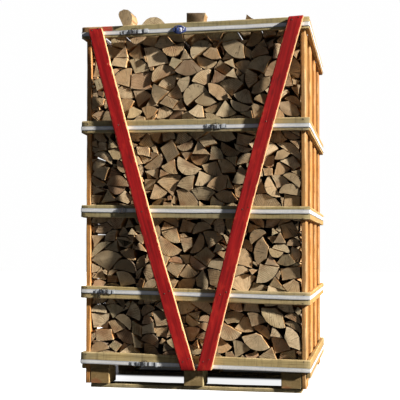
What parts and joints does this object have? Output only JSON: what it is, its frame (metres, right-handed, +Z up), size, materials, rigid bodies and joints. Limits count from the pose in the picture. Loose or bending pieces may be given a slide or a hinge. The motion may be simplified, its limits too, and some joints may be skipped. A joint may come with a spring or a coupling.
{
  "type": "palletised crate of split firewood",
  "caption": "Slatted timber crate on a block pallet, filled with stacked split firewood, held by boards and steel straps at each level, with two red braces as a V across its open front.",
  "frame": {"origin": "on the ground under the middle of the crate's bounding box", "axes": "+Z up, the open front with the two red braces faces -Y, +X to the right seen from the front"},
  "size_m": [1.1526, 1.157, 1.912],
  "materials": {
    "pallet_wood": "rough sawn, a little dirty",
    "slat_wood": "rough sawn softwood, warm orange brown",
    "band_wood": "rough sawn softwood, greenish tan",
    "galvanised_strap": "galvanised steel strapping, satin",
    "red_paint": "thin streaky red paint on sawn wood, bare at the edges",
    "split_wood": "split and sawn hardwood, dry, with some bark",
    "blue_plastic": "blue and white polypropylene twine"
  },
  "bodies": {
    "root": {"skid_front": "pallet_wood", "block_front_left": "pallet_wood", "block_front_centre": "pallet_wood", "block_front_right": "pallet_wood", "skid_middle": "pallet_wood", "block_middle_left": "pallet_wood", "block_middle_centre": "pallet_wood", "block_middle_right": "pallet_wood", "skid_back": "pallet_wood", "block_back_left": "pallet_wood", "block_back_centre": "pallet_wood", "block_back_right": "pallet_wood", "stringer_left": "pallet_wood", "stringer_centre": "pallet_wood", "stringer_right": "pallet_wood", "deck_board_1": "pallet_wood", "deck_board_2": "pallet_wood", "deck_board_3": "pallet_wood", "deck_board_4": "pallet_wood", "deck_board_5": "pallet_wood", "slat_left_1": "slat_wood", "slat_left_2": "slat_wood", "slat_left_3": "slat_wood", "slat_left_4": "slat_wood", "slat_right_1": "slat_wood", "slat_right_2": "slat_wood", "slat_right_3": "slat_wood", "slat_right_4": "slat_wood", "band_base_front": "band_wood", "band_base_back": "band_wood", "band_base_left": "band_wood", "band_base_right": "band_wood", "strap_base": "galvanised_strap", "band_lower_front": "band_wood", "band_lower_back": "band_wood", "band_lower_left": "band_wood", "band_lower_right": "band_wood", "strap_lower": "galvanised_strap", "band_middle_front": "band_wood", "band_middle_back": "band_wood", "band_middle_left": "band_wood", "band_middle_right": "band_wood", "strap_middle": "galvanised_strap", "band_upper_front": "band_wood", "band_upper_back": "band_wood", "band_upper_left": "band_wood", "band_upper_right": "band_wood", "strap_upper": "galvanised_strap", "band_top_front": "band_wood", "band_top_back": "band_wood", "band_top_left": "band_wood", "band_top_right": "band_wood", "strap_top": "galvanised_strap", "brace_left": "red_paint", "brace_right": "red_paint", "firewood_row_front": "split_wood", "firewood_row_middle": "split_wood", "firewood_row_back": "split_wood", "blue_tie": "blue_plastic"}
  },
  "joints": []
}
